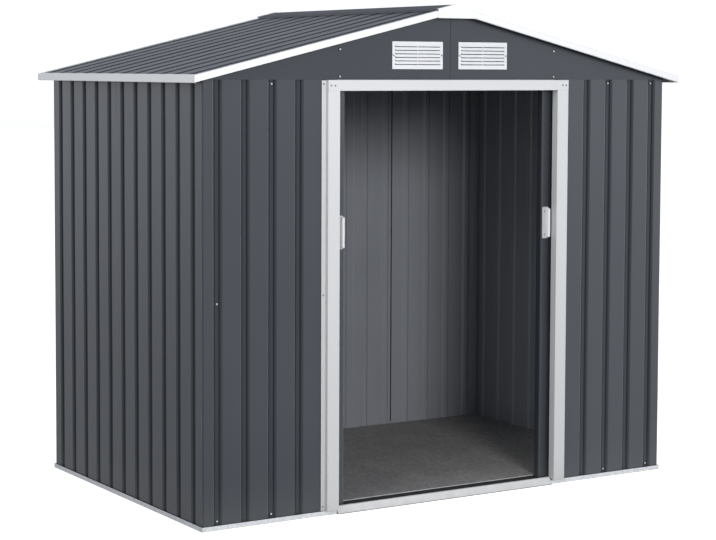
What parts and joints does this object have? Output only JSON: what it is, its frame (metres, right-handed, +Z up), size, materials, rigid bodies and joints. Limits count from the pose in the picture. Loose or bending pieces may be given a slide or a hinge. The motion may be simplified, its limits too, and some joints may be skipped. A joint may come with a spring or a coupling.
{
  "type": "metal storage shed",
  "caption": "Ribbed sheet-steel garden shed with an apex roof, white trims, louvre vents in the gables and a doorway with two sliding doors.",
  "frame": {"origin": "centre of the footprint, on the ground", "axes": "+X to the right along the front, +Y from the front to the back, +Z up; the doorway faces -Y"},
  "size_m": [2.13, 1.34, 1.8212],
  "materials": {
    "painted_steel_dark": "satin anthracite paint on ribbed sheet",
    "painted_steel_white": "satin white paint",
    "galvanised_steel": "dull galvanised",
    "floor_board": "rough dark grey board",
    "white_plastic": "satin white moulding",
    "black_plastic": "matt black moulding"
  },
  "bodies": {
    "shell": {"back_gable_left": "painted_steel_dark", "back_gable_right": "painted_steel_dark", "back_wall_left": "painted_steel_dark", "back_wall_middle": "painted_steel_dark", "back_wall_right": "painted_steel_dark", "base_rail_back": "galvanised_steel", "base_rail_front": "galvanised_steel", "base_rail_left": "galvanised_steel", "base_rail_right": "galvanised_steel", "corner_post_back_left": "painted_steel_dark", "corner_post_back_right": "painted_steel_dark", "corner_post_front_left": "painted_steel_dark", "corner_post_front_right": "painted_steel_dark", "door_header": "painted_steel_white", "door_jamb_left": "painted_steel_white", "door_jamb_right": "painted_steel_white", "door_sill": "painted_steel_white", "door_track_upper": "painted_steel_dark", "eave_trim_left": "painted_steel_white", "eave_trim_right": "painted_steel_white", "floor_deck": "floor_board", "front_gable_left": "painted_steel_dark", "front_gable_right": "painted_steel_dark", "front_wall_left": "painted_steel_dark", "front_wall_right": "painted_steel_dark", "left_wall_front": "painted_steel_dark", "left_wall_rear": "painted_steel_dark", "rake_trim_back_left": "painted_steel_white", "rake_trim_back_right": "painted_steel_white", "rake_trim_front_left": "painted_steel_white", "rake_trim_front_right": "painted_steel_white", "ridge_beam": "painted_steel_dark", "ridge_cap": "painted_steel_dark", "ridge_end_back": "painted_steel_white", "ridge_end_front": "painted_steel_white", "right_wall_front": "painted_steel_dark", "right_wall_rear": "painted_steel_dark", "roof_left_front": "painted_steel_dark", "roof_left_rear": "painted_steel_dark", "roof_right_front": "painted_steel_dark", "roof_right_rear": "painted_steel_dark", "top_rail_back": "painted_steel_dark", "top_rail_left": "painted_steel_dark", "top_rail_right": "painted_steel_dark", "vent_back_left": "white_plastic", "vent_back_right": "white_plastic", "vent_front_left": "white_plastic", "vent_front_right": "white_plastic"},
    "left_door": {"left_door_frame": "painted_steel_dark", "left_door_glides": "black_plastic", "left_door_handle": "white_plastic", "left_door_panel": "painted_steel_dark"},
    "right_door": {"right_door_frame": "painted_steel_dark", "right_door_glides": "black_plastic", "right_door_handle": "white_plastic", "right_door_panel": "painted_steel_dark"}
  },
  "joints": [
    {"name": "left_door_slide", "type": "slide", "parent": "shell", "child": "left_door", "axis": [1, 0, 0], "range_m": [-0.0045, 0.4335]},
    {"name": "right_door_slide", "type": "slide", "parent": "shell", "child": "right_door", "axis": [-1, 0, 0], "range_m": [0, 0.438]}
  ]
}
